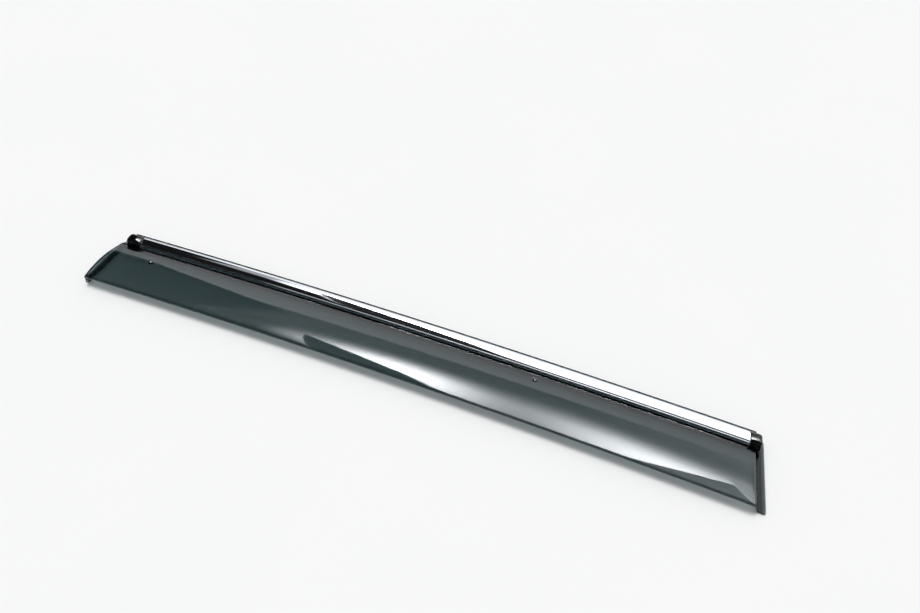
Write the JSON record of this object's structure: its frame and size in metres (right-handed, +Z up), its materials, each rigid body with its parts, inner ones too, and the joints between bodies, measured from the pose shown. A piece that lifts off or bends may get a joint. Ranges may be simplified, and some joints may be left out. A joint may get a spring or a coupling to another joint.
{
  "type": "window rain deflector",
  "caption": "Long smoked acrylic visor with a crowned face, closed ends and a bright capped trim along its upper edge, taped over a car's side window to keep rain out.",
  "frame": {"origin": "middle of the part's box, on the surface that it lies on", "axes": "+X along the part from the front end to the rear end, +Y from the free lower edge to the trimmed upper edge, +Z up, away from the door"},
  "size_m": [0.8706, 0.1029, 0.0196],
  "materials": {
    "smoked_acrylic": "clear dark green-grey smoked acrylic, moulded, polished on both sides",
    "bright_trim": "mirror chrome plate on a moulded strip",
    "gloss_black": "moulded black ABS, glossy",
    "rivet_steel": "small black-nickel-plated steel rivet heads, polished",
    "bonding_tape": "dark grey acrylic foam tape",
    "foam_seal": "black closed-cell foam strip"
  },
  "bodies": {
    "root": {"visor": "smoked_acrylic", "trim_strip": "bright_trim", "trim_tape": "bonding_tape", "trim_cap_front": "gloss_black", "trim_cap_rear": "gloss_black", "clip_rivets": "rivet_steel", "mounting_tape": "bonding_tape", "end_seal_front": "foam_seal", "end_seal_rear": "foam_seal"}
  },
  "joints": []
}
